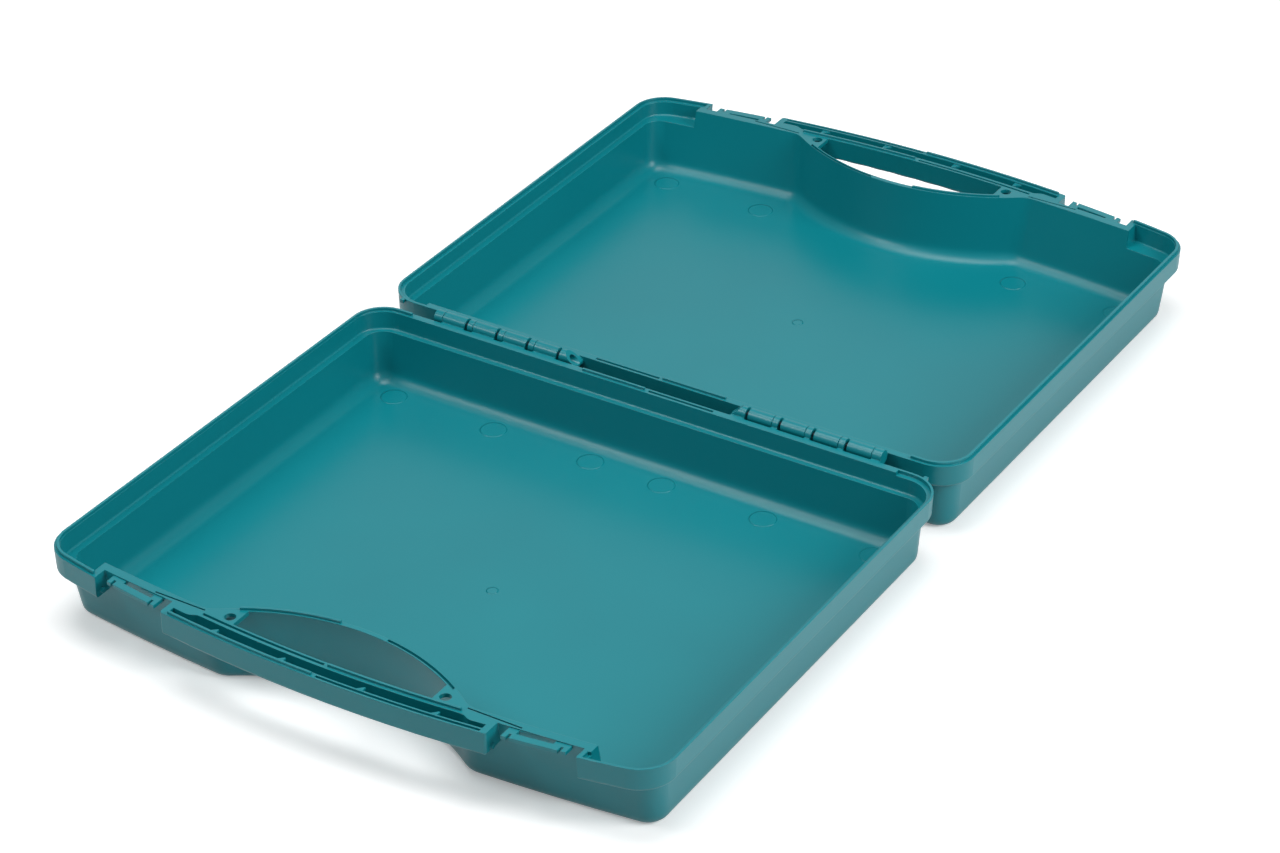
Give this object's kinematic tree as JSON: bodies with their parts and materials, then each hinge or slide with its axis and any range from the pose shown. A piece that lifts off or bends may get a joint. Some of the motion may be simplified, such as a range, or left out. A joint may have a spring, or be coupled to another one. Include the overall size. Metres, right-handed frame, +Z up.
{
  "type": "hard tool case",
  "caption": "Shallow moulded plastic carrying case lying open: a tray base and a matching hinged lid with an interlocking rim, latch tabs and a built-in hand grip.",
  "frame": {"origin": "on the floor, under the middle of the hinge line", "axes": "+X along the hinge, to the right in the picture; +Y from the base shell towards the opened lid; +Z up"},
  "size_m": [0.361, 0.6274, 0.0476],
  "materials": {
    "shell": "satin moulded polypropylene",
    "pin": "drawn steel"
  },
  "bodies": {
    "base": {"base_shell": "shell", "hinge_pin_right": "pin"},
    "lid": {"lid_shell": "shell", "hinge_pin_left": "pin"}
  },
  "joints": [
    {"name": "lid_hinge", "type": "hinge", "parent": "base", "child": "lid", "pos_m": [0, 0, 0.04355], "axis": [1, 0, 0], "range_deg": [0, 180]}
  ]
}
